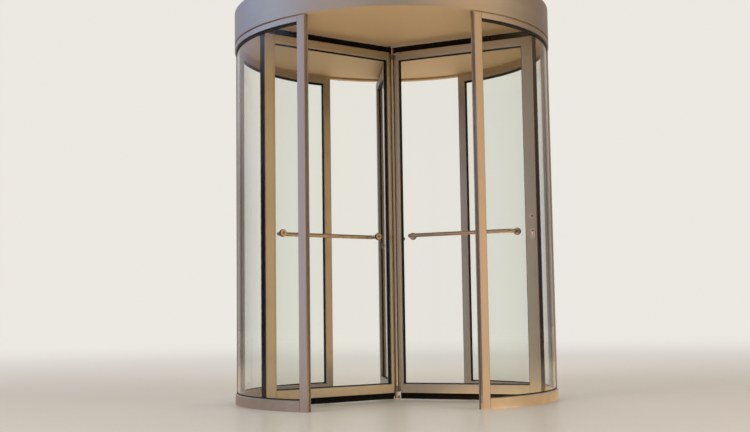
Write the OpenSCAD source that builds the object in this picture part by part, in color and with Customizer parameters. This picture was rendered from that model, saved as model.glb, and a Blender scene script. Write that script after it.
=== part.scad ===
// Revolving door: a round glass drum with two entrances, a flat canopy
// and a hand-pushed rotor of three framed glass wings.
// Millimetres. Z is up from the floor, the street entrance faces -Y,
// and the middle of the drum at floor level is the origin.

/* [Drum] */
// Inside radius of the curved walls
drum_in_r = 990; // [900:5:1200]
// Depth of the wall frame, from inside to outside
wall_d = 40; // [34:1:60]
// Clear height from the floor to the canopy lip
clear_h = 2300; // [2100:10:2600]
// Angle between the middles of the two posts at an entrance
opening_deg = 60.5; // [54:0.5:66]
// Width of an entrance post
post_w = 52; // [44:1:80]
// Width of a middle post, where the building wall meets the drum
mid_post_w = 60; // [46:1:90]
// Height of the curved head rails
head_rail_h = 42; // [34:1:80]
// Height of the curved sill rails
sill_rail_h = 64; // [50:1:120]
// Height and depth of the shadow gap between head rail and canopy
shadow_gap = 12; // [4:1:14]
// Radius of the long edges of posts and stiles
edge_r = 3; // [1:0.5:5]
// Wall of the hollow posts, rails and stiles
extrusion_wall = 3; // [2:0.5:4]
// Width of the seam beside a snap-on glazing bead
seam_w = 1.5; // [1:0.5:3]

/* [Glazing] */
// Thickness of the bent wall panes
pane_t = 10; // [8:1:13]
// Thickness of the wing glass
wing_glass_t = 8; // [6:1:12]
// Depth that a glass edge reaches into its frame
bite = 8; // [5:1:12]
// Visible width of a glazing gasket
gasket_w = 6; // [4:1:14]
// Visible width of the gaskets under the head rails
head_gasket_w = 12; // [6:1:18]
// Thickness of a glazing gasket on each face of the glass
gasket_t = 5; // [3:1:7]

/* [Canopy] */
// Height of the canopy over the clear height
canopy_h = 205; // [180:5:400]
// Thickness of the fascia and the roof cover
sheet_t = 4; // [2:0.5:6]
// Height of the soffit ring, which sets how far the ceiling lies above its lower edge
soffit_h = 14; // [8:1:24]
// Thickness of the ceiling panel
ceiling_t = 18; // [12:1:22]
// Width of the seat that the soffit ring gives the ceiling panel
ceiling_seat = 10; // [6:1:14]
// Wall of the canopy frame's ring and cross beam
beam_wall = 5; // [3:1:8]
// Height of the cross beam that carries the top bearing
cross_h = 100; // [70:5:120]
// Width of the cross beam
cross_w = 80; // [60:5:120]
// Height of the roof cover's rim over its sheet
roof_rim_h = 8; // [4:1:16]
// Width of the roof cover's rim and folded seams
roof_rim_w = 22; // [14:1:40]

/* [Rotor] */
// Turn of the rotor at rest, from one wing straight back
rest_turn = 6.7; // [0:0.1:30]
// Diameter of the spindle
spindle_d = 20; // [16:1:26]
// Outside diameter of the centre tube
tube_d = 38; // [34:1:48]
// Wall of the centre tube
tube_wall = 4; // [2:0.5:5]
// Height of a hub collar and its lugs
hub_h = 38; // [26:1:50]
// Thickness of the wing frames
wing_t = 50; // [40:1:56]
// Radius where a wing frame starts
wing_in_r = 37; // [34:1:60]
// Gap between a wing frame and the curved walls
wing_end_gap = 22; // [12:1:40]
// Width of an inner stile
inner_stile_w = 20; // [18:1:60]
// Width of an outer stile
outer_stile_w = 70; // [60:1:110]
// Height of a wing's top rail
wing_top_h = 53; // [40:1:100]
// Height of a wing's bottom rail
wing_bottom_h = 57; // [40:1:120]
// Gap between the floor and the wing frames
foot_gap = 45; // [25:1:60]
// Gap between the wing frames and the canopy lip
head_gap = 33; // [20:1:60]
// Thickness of the brush strips
brush_t = 16; // [8:1:26]
// Depth that a brush strip is held in its slot
brush_root = 6; // [4:1:8]
// Gap that the brushes keep to the floor, the walls and the ceiling
sweep_gap = 5; // [4:0.5:8]

/* [Push bars] */
// Diameter of a push bar
bar_d = 25; // [20:1:34]
// Height of the push bars
bar_z = 1048; // [950:1:1150]
// Distance from the inner stile to the inner fixing of a push bar
bar_in_gap = 74; // [36:1:160]
// Distance from the outer stile to the outer fixing of a push bar
bar_out_gap = 62; // [36:1:160]
// Distance from the glass middle to the bar's middle line
bar_off = 76; // [60:1:90]
// Bend radius of a push bar
bar_bend_r = 32; // [28:1:38]
// Diameter of the fixing discs
disc_d = 44; // [36:1:60]
// Thickness of the fixing discs
disc_t = 7; // [4:1:10]
// Chamfer of the fixing discs
disc_chamfer = 1.5; // [0.5:0.5:3]

/* [Lock] */
// Distance from the wing's outer edge to the middle of the lock
lock_backset = 26; // [24:1:50]
// Height of the lock cylinder
lock_z = 1045; // [900:1:1200]
// Distance from the cylinder up to the follower
lock_spacing = 92; // [72:1:92]
// Width of the escutcheons
lock_w = 32; // [26:1:40]
// Thickness of the escutcheons
lock_t = 5; // [3:1:8]
// Diameter of the follower hole
follower_d = 14; // [8:1:18]

/* [Bearings] */
// Diameter of the floor bearing
floor_bearing_d = 46; // [44:1:60]
// Height of the floor bearing
floor_bearing_h = 26; // [20:1:34]
// Diameter of the top bearing housing
top_bearing_d = 60; // [46:1:80]
// Radial running fit of the spindle in its bearings
bearing_fit = 0.05; // [0.02:0.01:0.1]

/* [Hidden] */
$fn = 96;
ring_fn = 360;
edge_fn = 32;
bar_fn = 48;

// Gap of a seated piece, slack of glass in its groove, and overshoot of a cut
seat = 0.3;
slack = 1.5;
cut = 1;

// Finishes
satin = "#b4b0a8";
steel = "#cfc9bf";
black = "#1b1a19";
glass = [0.80, 0.88, 0.88, 0.35];
panel = "#cbb28c";
zinc = "#8f9498";

// Drum
drum_out_r = drum_in_r + wall_d;
wall_mid_r = drum_in_r + wall_d / 2;
half_open = opening_deg / 2;
front_deg = 270;
rear_deg = 90;
groove_d = bite + slack;
head_z = clear_h - head_rail_h;
pane_low_z = sill_rail_h - bite;
pane_top_z = head_z + bite;
post_half_deg = asin(post_w / 2 / wall_mid_r);
mid_half_deg = asin(mid_post_w / 2 / wall_mid_r);
bite_deg = asin(bite / wall_mid_r);
seal_w = wall_d * 0.28;
seal_proud = 4;
seal_root = 5;
seam_d = 1.2;
seam_inset = 2;
chamber_top = clear_h - shadow_gap - extrusion_wall;
seal_in_x = edge_r + 1 - wall_d / 2;

// Each bay as its entrance post, its middle post and the way round from one to the other
right_bays = [[front_deg + half_open, 360], [0, rear_deg - half_open]];
left_bays = [[rear_deg + half_open, 180], [180, front_deg - half_open]];

// Canopy
lip_top_z = clear_h + soffit_h;
total_h = clear_h + canopy_h;
roof_z = total_h - roof_rim_h - sheet_t;
ceiling_r = drum_in_r + ceiling_seat;
ceiling_gap = 2;
ring_out_r = drum_out_r - sheet_t - seat;
ring_low_in_r = ceiling_r + ceiling_gap;
ring_flange_w = 56;
ring_high_in_r = ring_out_r - ring_flange_w;
ring_top_z = roof_z - seat;
cross_top_z = ring_top_z - beam_wall / 2;
cross_z = cross_top_z - cross_h;
cross_end_gap = 12;
cross_half = ring_out_r - beam_wall - cross_end_gap;

// Bearings
bearing_flange_w = 18;
bearing_flange_t = 10;
bearing_flange_d = top_bearing_d + 2 * bearing_flange_w;
bearing_gap = 6;
bearing_low_z = lip_top_z + ceiling_t + bearing_gap;
bore_r = spindle_d / 2 + bearing_fit;
bore_low_z = 5;
bore_end_gap = 2;
spindle_low_z = bore_low_z + seat;
spindle_top_z = cross_z - 4;
ceiling_hole_r = spindle_d / 2 + 4;
boss_wall = 8;
boss_d = spindle_d + 2 * boss_wall;

// Wings
tube_r = tube_d / 2;
wing_out_r = drum_in_r - wing_end_gap;
wing_low_z = foot_gap;
wing_top_z = clear_h - head_gap;
hub_inset = 6;
hub_low_z = foot_gap + hub_inset;
hub_top_z = wing_top_z - hub_inset - hub_h;
spigot_h = 24;
slot_d = brush_root + seat;
slot_w = brush_t + 2 * seat;
drain_d = 6;
spigot_r = tube_r - tube_wall - seat;
lug_in_r = (spindle_d / 2 + tube_r) / 2;
lug_inset = 2;
tube_low_z = hub_low_z + hub_h;
tube_top_z = hub_top_z;
tongue_w = 16;
glass_in_r = wing_in_r + inner_stile_w;
glass_out_r = wing_out_r - outer_stile_w;
bar_in_r = glass_in_r + bar_in_gap;
bar_out_r = glass_out_r - bar_out_gap;
glass_low_z = wing_low_z + wing_bottom_h;
glass_top_z = wing_top_z - wing_top_h;
brush_r = drum_in_r - sweep_gap;
brush_low_z = sweep_gap;
brush_top_z = lip_top_z - sweep_gap;
brush_foot_in_r = floor_bearing_d / 2 + sweep_gap + 1;
brush_head_in_r = spindle_d / 2 + 3;
disc_face = wing_glass_t / 2;
lock_r = wing_out_r - lock_backset;

// Wing directions at rest
rear_wing_deg = rear_deg + rest_turn;
left_wing_deg = rear_wing_deg + 120;
right_wing_deg = rear_wing_deg + 240;

// Shapes that are used again

module ring_part(r_in, r_out, from_deg, to_deg, z_low, z_high) {
    rotate([0, 0, from_deg])
        rotate_extrude(angle = to_deg - from_deg, $fn = ring_fn)
            translate([r_in, z_low]) square([r_out - r_in, z_high - z_low]);
}

module round_rect(x, y, r) {
    translate([r, 0]) square([x - 2 * r, y]);
    translate([0, r]) square([x, y - 2 * r]);
    for (px = [r, x - r], py = [r, y - r]) translate([px, py]) circle(r, $fn = edge_fn);
}

// Posts, in plan with x outwards and y along the wall

function has_groove(side, groove_sides) = len([for (s = groove_sides) if (s == side) s]) > 0;
function edge_depth(side, groove_sides, seal_side) =
    has_groove(side, groove_sides) ? groove_d : seal_side == side ? seal_root : 0;

module post_plan(w, groove_sides, seal_side) {
    groove_w = pane_t + 2 * slack;
    seam_y = w / 2 - groove_d - seam_inset;
    difference() {
        translate([-wall_d / 2, -w / 2]) round_rect(wall_d, w, edge_r);
        for (side = groove_sides) {
            translate([-groove_w / 2, side > 0 ? w / 2 - groove_d : -w / 2 - cut])
                square([groove_w, groove_d + cut]);
            translate([-wall_d / 2 - cut, side * seam_y - seam_w / 2]) square([seam_d + cut, seam_w]);
        }
        if (seal_side != 0)
            translate([seal_in_x, seal_side > 0 ? w / 2 - seal_root : -w / 2 - cut])
                square([seal_w, seal_root + cut]);
    }
}

module post_chamber_plan(w, groove_sides, seal_side) {
    low_y = -w / 2 + edge_depth(-1, groove_sides, seal_side) + extrusion_wall;
    high_y = w / 2 - edge_depth(1, groove_sides, seal_side) - extrusion_wall;
    translate([-wall_d / 2 + extrusion_wall, low_y]) square([wall_d - 2 * extrusion_wall, high_y - low_y]);
}

// A hollow post, closed at the top, where the shadow gap runs on across it
module post(deg, w, groove_sides, seal_side = 0) {
    color(satin)
        rotate([0, 0, deg]) translate([wall_mid_r, 0, 0]) difference() {
            linear_extrude(clear_h - seat) post_plan(w, groove_sides, seal_side);
            translate([0, 0, -cut])
                linear_extrude(chamber_top + cut) post_chamber_plan(w, groove_sides, seal_side);
            translate([wall_d / 2 - shadow_gap, -w, clear_h - shadow_gap])
                cube([shadow_gap + cut, 2 * w, shadow_gap]);
        }
}

// The seal of an entrance post: a root in its channel and a rounded nose
module entrance_seal(deg, side) {
    root_y = side > 0 ? post_w / 2 - seal_root : -post_w / 2 - seal_proud / 2;
    nose_y = side * (post_w / 2 + seal_proud / 2);
    rotate([0, 0, deg]) translate([wall_mid_r, 0, seat])
        linear_extrude(clear_h - 2 * seat) {
            translate([seal_in_x, root_y]) square([seal_w, seal_root + seal_proud / 2]);
            translate([seal_in_x + seal_proud / 2, nose_y - seal_proud / 2])
                square([seal_w - seal_proud, seal_proud]);
            for (px = [seal_in_x + seal_proud / 2, seal_in_x + seal_w - seal_proud / 2])
                translate([px, nose_y]) circle(seal_proud / 2, $fn = edge_fn);
        }
}

// Curved rails between the posts

module head_rail_section() {
    groove_w = pane_t + 2 * slack;
    chamber_z = head_z + groove_d + extrusion_wall;
    difference() {
        translate([drum_in_r, head_z]) square([wall_d, head_rail_h - seat]);
        translate([wall_mid_r - groove_w / 2, head_z - cut]) square([groove_w, groove_d + cut]);
        translate([drum_out_r - shadow_gap, clear_h - shadow_gap])
            square([shadow_gap + cut, shadow_gap + cut]);
        translate([drum_in_r + extrusion_wall, chamber_z])
            square([wall_d - shadow_gap - 2 * extrusion_wall, clear_h - seat - extrusion_wall - chamber_z]);
        translate([drum_in_r - cut, head_z + groove_d + seam_inset]) square([seam_d + cut, seam_w]);
    }
}

module sill_rail_section() {
    groove_w = pane_t + 2 * slack;
    slope = 4;
    chamber_h = pane_low_z - seat - 2 * extrusion_wall;
    difference() {
        polygon([
            [drum_in_r, 0], [drum_out_r, 0], [drum_out_r, sill_rail_h - slope],
            [wall_mid_r + groove_w / 2 + gasket_t, sill_rail_h],
            [wall_mid_r - groove_w / 2 - gasket_t, sill_rail_h], [drum_in_r, sill_rail_h - slope]]);
        translate([wall_mid_r - groove_w / 2, pane_low_z - seat]) square([groove_w, bite + seat + cut]);
        translate([drum_in_r + extrusion_wall, extrusion_wall])
            square([wall_d - 2 * extrusion_wall, chamber_h]);
        translate([drum_in_r - cut, pane_low_z - seam_inset - seam_w]) square([seam_d + cut, seam_w]);
    }
}

// What stands between the two posts of a bay, cut square to the posts
module between_posts(bay) {
    front_end = bay[0] % 180 == 0 ? mid_post_w : post_w;
    rear_end = bay[1] % 180 == 0 ? mid_post_w : post_w;
    difference() {
        children();
        rotate([0, 0, bay[0]]) translate([0, -post_w, -cut])
            cube([2 * drum_out_r, post_w + front_end / 2, total_h]);
        rotate([0, 0, bay[1]]) translate([0, -rear_end / 2, -cut])
            cube([2 * drum_out_r, post_w + rear_end / 2, total_h]);
    }
}

module curved_rail(bay) {
    between_posts(bay)
        rotate([0, 0, bay[0]]) rotate_extrude(angle = bay[1] - bay[0], $fn = ring_fn) children();
}

module head_rails(bays) {
    color(satin) for (bay = bays) curved_rail(bay) head_rail_section();
}

module sill_rails(bays) {
    color(satin) for (bay = bays) curved_rail(bay) sill_rail_section();
}

// Bent glass and its gaskets

function end_half_deg(deg) = deg % 180 == 0 ? mid_half_deg : post_half_deg;

module pane(bay) {
    color(glass)
        ring_part(
            wall_mid_r - pane_t / 2, wall_mid_r + pane_t / 2,
            bay[0] + end_half_deg(bay[0]) - bite_deg, bay[1] - end_half_deg(bay[1]) + bite_deg,
            pane_low_z, pane_top_z);
}

module bay_gaskets(bay) {
    gasket_deg = asin(gasket_w / wall_mid_r);
    difference() {
        between_posts(bay)
            ring_part(
                wall_mid_r - pane_t / 2 - gasket_t, wall_mid_r + pane_t / 2 + gasket_t,
                bay[0], bay[1], sill_rail_h, head_z);
        ring_part(
            wall_mid_r - wall_d, wall_mid_r + wall_d,
            bay[0] + end_half_deg(bay[0]) + gasket_deg, bay[1] - end_half_deg(bay[1]) - gasket_deg,
            sill_rail_h + gasket_w, head_z - head_gasket_w);
        ring_part(
            wall_mid_r - pane_t / 2 - seat, wall_mid_r + pane_t / 2 + seat,
            bay[0], bay[1], sill_rail_h - cut, head_z + cut);
    }
}

module wall_gaskets() {
    color(black) for (bay = concat(left_bays, right_bays)) bay_gaskets(bay);
}

module entrance_seals() {
    color(black) {
        entrance_seal(front_deg - half_open, 1);
        entrance_seal(front_deg + half_open, -1);
        entrance_seal(rear_deg - half_open, 1);
        entrance_seal(rear_deg + half_open, -1);
    }
}

// Canopy

// A rolled rectangular tube that lies on the posts and rails; the ceiling lies on its inner edge
module soffit_ring() {
    wall = extrusion_wall;
    color(panel) rotate_extrude($fn = ring_fn) difference() {
        translate([drum_in_r, clear_h]) square([ring_out_r - drum_in_r, soffit_h]);
        translate([drum_in_r + wall, clear_h + wall])
            square([ring_out_r - drum_in_r - 2 * wall, soffit_h - 2 * wall]);
    }
}

module fascia(from_deg) {
    color(satin)
        ring_part(drum_out_r - sheet_t, drum_out_r, from_deg, from_deg + 180, clear_h, roof_z - seat);
}

module ceiling() {
    color(panel)
        translate([0, 0, lip_top_z]) difference() {
            cylinder(h = ceiling_t, r = ceiling_r, $fn = ring_fn);
            translate([0, 0, -cut]) cylinder(h = ceiling_t + 2 * cut, r = ceiling_hole_r);
        }
}

// A rolled channel, with a cross beam of rectangular tube welded under its upper flange
module canopy_frame() {
    color(zinc) {
        rotate_extrude($fn = ring_fn) {
            translate([ring_out_r - beam_wall, lip_top_z]) square([beam_wall, ring_top_z - lip_top_z]);
            translate([ring_low_in_r, lip_top_z]) square([ring_out_r - ring_low_in_r, beam_wall]);
            translate([ring_high_in_r, ring_top_z - beam_wall]) square([ring_flange_w, beam_wall]);
        }
        translate([-cross_half, -cross_w / 2, cross_z]) difference() {
            cube([2 * cross_half, cross_w, cross_h]);
            translate([-cut, beam_wall, beam_wall])
                cube([2 * (cross_half + cut), cross_w - 2 * beam_wall, cross_h - 2 * beam_wall]);
        }
    }
}

module top_bearing() {
    color(zinc) difference() {
        union() {
            translate([0, 0, bearing_low_z])
                cylinder(h = cross_z - bearing_low_z, d = top_bearing_d);
            translate([0, 0, cross_z - bearing_flange_t])
                cylinder(h = bearing_flange_t, d = bearing_flange_d);
        }
        translate([0, 0, bearing_low_z - cut])
            cylinder(h = spindle_top_z + bore_end_gap - bearing_low_z + cut, r = bore_r);
    }
}

// A sheet with an upstand rim, in three widths that are joined by folded seams
module roof_cover() {
    sheet_top = roof_z + sheet_t;
    rim_in_r = drum_out_r - roof_rim_w;
    seam_off = drum_out_r / 3;
    color(satin) {
        rotate_extrude($fn = ring_fn) polygon([
            [0, roof_z], [drum_out_r, roof_z], [drum_out_r, total_h], [rim_in_r, total_h],
            [rim_in_r, sheet_top], [0, sheet_top]]);
        for (y = [-seam_off, seam_off]) intersection() {
            translate([-drum_out_r, y - roof_rim_w / 2, sheet_top - cut])
                cube([2 * drum_out_r, roof_rim_w, roof_rim_h / 2 + cut]);
            translate([0, 0, roof_z]) cylinder(h = total_h - roof_z, r = rim_in_r + cut, $fn = ring_fn);
        }
    }
}

module floor_bearing() {
    shoulder = 3;
    color(steel) rotate_extrude() polygon([
        [0, 0], [floor_bearing_d / 2, 0], [floor_bearing_d / 2, floor_bearing_h * 0.45],
        [floor_bearing_d / 2 - shoulder, floor_bearing_h * 0.6], [boss_d / 2, floor_bearing_h],
        [bore_r, floor_bearing_h], [bore_r, bore_low_z], [0, bore_low_z]]);
}

// Rotor centre

module spindle() {
    color(steel) translate([0, 0, spindle_low_z])
        cylinder(h = spindle_top_z - spindle_low_z, d = spindle_d);
}

module centre_tube() {
    color(steel) translate([0, 0, tube_low_z]) difference() {
        cylinder(h = tube_top_z - tube_low_z, r = tube_r);
        translate([0, 0, -cut]) cylinder(h = tube_top_z - tube_low_z + 2 * cut, r = tube_r - tube_wall);
    }
}

// A clamped collar with a lug to each wing and a spigot that centres the tube
module hub(z, spigot_up) {
    translate([0, 0, z]) {
        translate([0, 0, spigot_up ? 0 : hub_h]) mirror([0, 0, spigot_up ? 0 : 1])
            rotate_extrude() polygon([
                [bore_r, 0], [tube_r, 0], [tube_r, hub_h], [spigot_r, hub_h],
                [spigot_r, hub_h + spigot_h], [bore_r, hub_h + spigot_h]]);
        for (i = [0:2]) rotate([0, 0, rear_wing_deg + i * 120])
            translate([lug_in_r, -tongue_w / 2, lug_inset])
                cube([wing_in_r - lug_in_r, tongue_w, hub_h - 2 * lug_inset]);
    }
}

module hubs() {
    color(zinc) {
        hub(hub_low_z, true);
        hub(hub_top_z, false);
    }
}

// Wings, in plan with x along the wing and y across it

module inner_stile_plan(tongue) {
    groove_w = wing_glass_t + 2 * slack;
    difference() {
        union() {
            translate([wing_in_r, -wing_t / 2]) round_rect(inner_stile_w, wing_t, edge_r);
            if (tongue)
                translate([tube_r + seat, -tongue_w / 2])
                    square([wing_in_r + edge_r - tube_r - seat, tongue_w]);
        }
        translate([glass_in_r - groove_d, -groove_w / 2]) square([groove_d + cut, groove_w]);
        translate([glass_in_r - groove_d - seam_inset - seam_w, wing_t / 2 - seam_d])
            square([seam_w, seam_d + cut]);
    }
}

module outer_stile_plan() {
    groove_w = wing_glass_t + 2 * slack;
    difference() {
        translate([glass_out_r, -wing_t / 2]) round_rect(outer_stile_w, wing_t, edge_r);
        translate([glass_out_r - cut, -groove_w / 2]) square([groove_d + cut, groove_w]);
        translate([glass_out_r + groove_d + seam_inset, wing_t / 2 - seam_d])
            square([seam_w, seam_d + cut]);
        translate([wing_out_r - slot_d, -slot_w / 2]) square([slot_d + cut, slot_w]);
    }
}

// What is cut from a stile: the slots for the brush at its ends, the hollow and its drain
module stile_cuts(slot_from_r, slot_to_r, hollow_from_r, hollow_to_r) {
    hollow_low_z = wing_low_z + slot_d + extrusion_wall;
    hollow_top_z = wing_top_z - slot_d - extrusion_wall;
    for (z = [wing_low_z - cut, wing_top_z - slot_d])
        translate([slot_from_r, -slot_w / 2, z]) cube([slot_to_r - slot_from_r, slot_w, slot_d + cut]);
    translate([hollow_from_r, -wing_t / 2 + extrusion_wall, hollow_low_z])
        cube([hollow_to_r - hollow_from_r, wing_t - 2 * extrusion_wall, hollow_top_z - hollow_low_z]);
    translate([(hollow_from_r + hollow_to_r) / 2, 0, wing_low_z])
        cylinder(h = hollow_low_z - wing_low_z + cut, d = drain_d, $fn = edge_fn);
}

module inner_stile(deg) {
    color(satin) rotate([0, 0, deg]) difference() {
        union() {
            translate([0, 0, wing_low_z])
                linear_extrude(tube_low_z - wing_low_z) inner_stile_plan(false);
            translate([0, 0, tube_low_z])
                linear_extrude(tube_top_z - tube_low_z) inner_stile_plan(true);
            translate([0, 0, tube_top_z])
                linear_extrude(wing_top_z - tube_top_z) inner_stile_plan(false);
        }
        stile_cuts(
            wing_in_r - cut, glass_in_r + cut,
            wing_in_r + extrusion_wall, glass_in_r - groove_d - extrusion_wall);
    }
}

module outer_stile(deg) {
    color(satin) rotate([0, 0, deg]) difference() {
        translate([0, 0, wing_low_z]) linear_extrude(wing_top_z - wing_low_z) outer_stile_plan();
        stile_cuts(
            glass_out_r - cut, wing_out_r + cut,
            glass_out_r + groove_d + extrusion_wall, wing_out_r - slot_d - extrusion_wall);
    }
}

// Section of a wing rail, y across the wing, with the groove for the glass at its top
module wing_rail_section(h) {
    groove_w = wing_glass_t + 2 * slack;
    difference() {
        translate([-wing_t / 2, 0]) round_rect(wing_t, h, edge_r);
        translate([-groove_w / 2, h - groove_d]) square([groove_w, groove_d + cut]);
        translate([-slot_w / 2, -cut]) square([slot_w, slot_d + cut]);
        translate([-wing_t / 2 + extrusion_wall, slot_d + extrusion_wall])
            square([wing_t - 2 * extrusion_wall, h - slot_d - groove_d - 2 * extrusion_wall]);
        translate([wing_t / 2 - seam_d, h - groove_d - seam_inset - seam_w])
            square([seam_d + cut, seam_w]);
    }
}

module wing_rail(z, h, groove_up) {
    translate([glass_in_r, 0, groove_up ? z : z + h])
        mirror([0, 0, groove_up ? 0 : 1])
            rotate([90, 0, 90]) linear_extrude(glass_out_r - glass_in_r) wing_rail_section(h);
}

module wing_rails(deg) {
    color(satin) rotate([0, 0, deg]) {
        wing_rail(wing_low_z, wing_bottom_h, true);
        wing_rail(glass_top_z, wing_top_h, false);
    }
}

module wing_glass(deg) {
    low_z = glass_low_z - groove_d;
    color(glass) rotate([0, 0, deg])
        translate([glass_in_r - bite, -wing_glass_t / 2, low_z])
            cube([glass_out_r - glass_in_r + 2 * bite, wing_glass_t, glass_top_z + bite - low_z]);
}

module wing_gasket(side) {
    y = side > 0 ? wing_glass_t / 2 : -wing_glass_t / 2 - gasket_t;
    translate([glass_in_r, y, glass_low_z]) difference() {
        cube([glass_out_r - glass_in_r, gasket_t, glass_top_z - glass_low_z]);
        translate([gasket_w, -cut, gasket_w])
            cube([
                glass_out_r - glass_in_r - 2 * gasket_w, gasket_t + 2 * cut,
                glass_top_z - glass_low_z - 2 * gasket_w]);
    }
}

module wing_gaskets() {
    color(black)
        for (i = [0:2], side = [-1, 1]) rotate([0, 0, rear_wing_deg + i * 120]) wing_gasket(side);
}

// Brush strips over, under and beside a wing frame, held in its slots
module wing_brush() {
    held_r = wing_out_r - brush_root;
    held_low_z = wing_low_z + brush_root;
    held_top_z = wing_top_z - brush_root;
    rotate([90, 0, 0]) linear_extrude(brush_t, center = true) polygon([
        [brush_foot_in_r, brush_low_z], [brush_r, brush_low_z], [brush_r, brush_top_z],
        [brush_head_in_r, brush_top_z], [brush_head_in_r, wing_top_z], [wing_in_r, wing_top_z],
        [wing_in_r, held_top_z], [held_r, held_top_z], [held_r, held_low_z], [wing_in_r, held_low_z],
        [wing_in_r, wing_low_z], [brush_foot_in_r, wing_low_z]]);
}

module wing_brushes() {
    color(black) for (i = [0:2]) rotate([0, 0, rear_wing_deg + i * 120]) wing_brush();
}

// A fixing disc that lies on z = 0, with the edge of its outer face chamfered
module fixing_disc() {
    rotate_extrude() polygon([
        [0, 0], [disc_d / 2, 0], [disc_d / 2, disc_t - disc_chamfer],
        [disc_d / 2 - disc_chamfer, disc_t], [0, disc_t]]);
}

// A bent tube whose ends stand on the glass, with a disc on each face of it
module push_bar(deg) {
    leg = bar_off - bar_bend_r - disc_face - disc_t;
    color(steel) rotate([0, 0, deg]) translate([0, 0, bar_z]) mirror([0, 1, 0]) {
        for (x = [bar_in_r, bar_out_r]) translate([x, 0, 0]) {
            translate([0, disc_face, 0]) rotate([-90, 0, 0]) fixing_disc();
            translate([0, -disc_face, 0]) rotate([90, 0, 0]) fixing_disc();
            translate([0, disc_face + disc_t, 0]) rotate([-90, 0, 0]) cylinder(h = leg, d = bar_d);
        }
        translate([bar_in_r + bar_bend_r, bar_off - bar_bend_r, 0]) rotate([0, 0, 90])
            rotate_extrude(angle = 90) translate([bar_bend_r, 0]) circle(d = bar_d, $fn = bar_fn);
        translate([bar_out_r - bar_bend_r, bar_off - bar_bend_r, 0])
            rotate_extrude(angle = 90) translate([bar_bend_r, 0]) circle(d = bar_d, $fn = bar_fn);
        translate([bar_in_r + bar_bend_r, bar_off, 0]) rotate([0, 90, 0])
            cylinder(h = bar_out_r - bar_in_r - 2 * bar_bend_r, d = bar_d, $fn = bar_fn);
    }
}

// Escutcheons of the mortice lock: a round one at the follower, a long one at the cylinder
module escutcheons(side) {
    y = side > 0 ? wing_t / 2 : -wing_t / 2 - lock_t;
    translate([lock_r, y, 0]) difference() {
        union() {
            translate([0, 0, lock_z + lock_spacing]) rotate([-90, 0, 0]) cylinder(h = lock_t, d = lock_w);
            for (z = [lock_z, lock_z - lock_w]) translate([0, 0, z]) rotate([-90, 0, 0])
                cylinder(h = lock_t, d = lock_w);
            translate([-lock_w / 2, 0, lock_z - lock_w]) cube([lock_w, lock_t, lock_w]);
        }
        translate([0, -cut, lock_z + lock_spacing]) rotate([-90, 0, 0])
            cylinder(h = lock_t + 2 * cut, d = follower_d);
    }
}

module wing_lock() {
    color(steel) rotate([0, 0, right_wing_deg]) for (side = [-1, 1]) escutcheons(side);
}

floor_bearing();
post(front_deg - half_open, post_w, [-1], 1);  // front_left_post
post(front_deg + half_open, post_w, [1], -1);  // front_right_post
post(rear_deg + half_open, post_w, [1], -1);  // rear_left_post
post(rear_deg - half_open, post_w, [-1], 1);  // rear_right_post
post(180, mid_post_w, [-1, 1]);  // left_mid_post
post(0, mid_post_w, [-1, 1]);  // right_mid_post
head_rails(left_bays);  // left_head_rails
head_rails(right_bays);  // right_head_rails
sill_rails(left_bays);  // left_sill_rails
sill_rails(right_bays);  // right_sill_rails
pane(left_bays[1]);  // front_left_pane
pane(left_bays[0]);  // rear_left_pane
pane(right_bays[0]);  // front_right_pane
pane(right_bays[1]);  // rear_right_pane
wall_gaskets();
entrance_seals();
soffit_ring();
ceiling();
fascia(180);  // front_fascia
fascia(0);  // rear_fascia
canopy_frame();
top_bearing();
roof_cover();
spindle();
centre_tube();
hubs();
inner_stile(left_wing_deg);  // left_wing_inner_stile
outer_stile(left_wing_deg);  // left_wing_outer_stile
wing_rails(left_wing_deg);  // left_wing_rails
wing_glass(left_wing_deg);  // left_wing_glass
push_bar(left_wing_deg);  // left_wing_push_bar
inner_stile(right_wing_deg);  // right_wing_inner_stile
outer_stile(right_wing_deg);  // right_wing_outer_stile
wing_rails(right_wing_deg);  // right_wing_rails
wing_glass(right_wing_deg);  // right_wing_glass
push_bar(right_wing_deg);  // right_wing_push_bar
inner_stile(rear_wing_deg);  // rear_wing_inner_stile
outer_stile(rear_wing_deg);  // rear_wing_outer_stile
wing_rails(rear_wing_deg);  // rear_wing_rails
wing_glass(rear_wing_deg);  // rear_wing_glass
push_bar(rear_wing_deg);  // rear_wing_push_bar
wing_gaskets();
wing_brushes();
wing_lock();
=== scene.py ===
import math
from contextlib import contextmanager

import bmesh
import bpy
from bpy.props import FloatProperty, FloatVectorProperty, IntProperty, PointerProperty
from mathutils import Matrix, Vector


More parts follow.
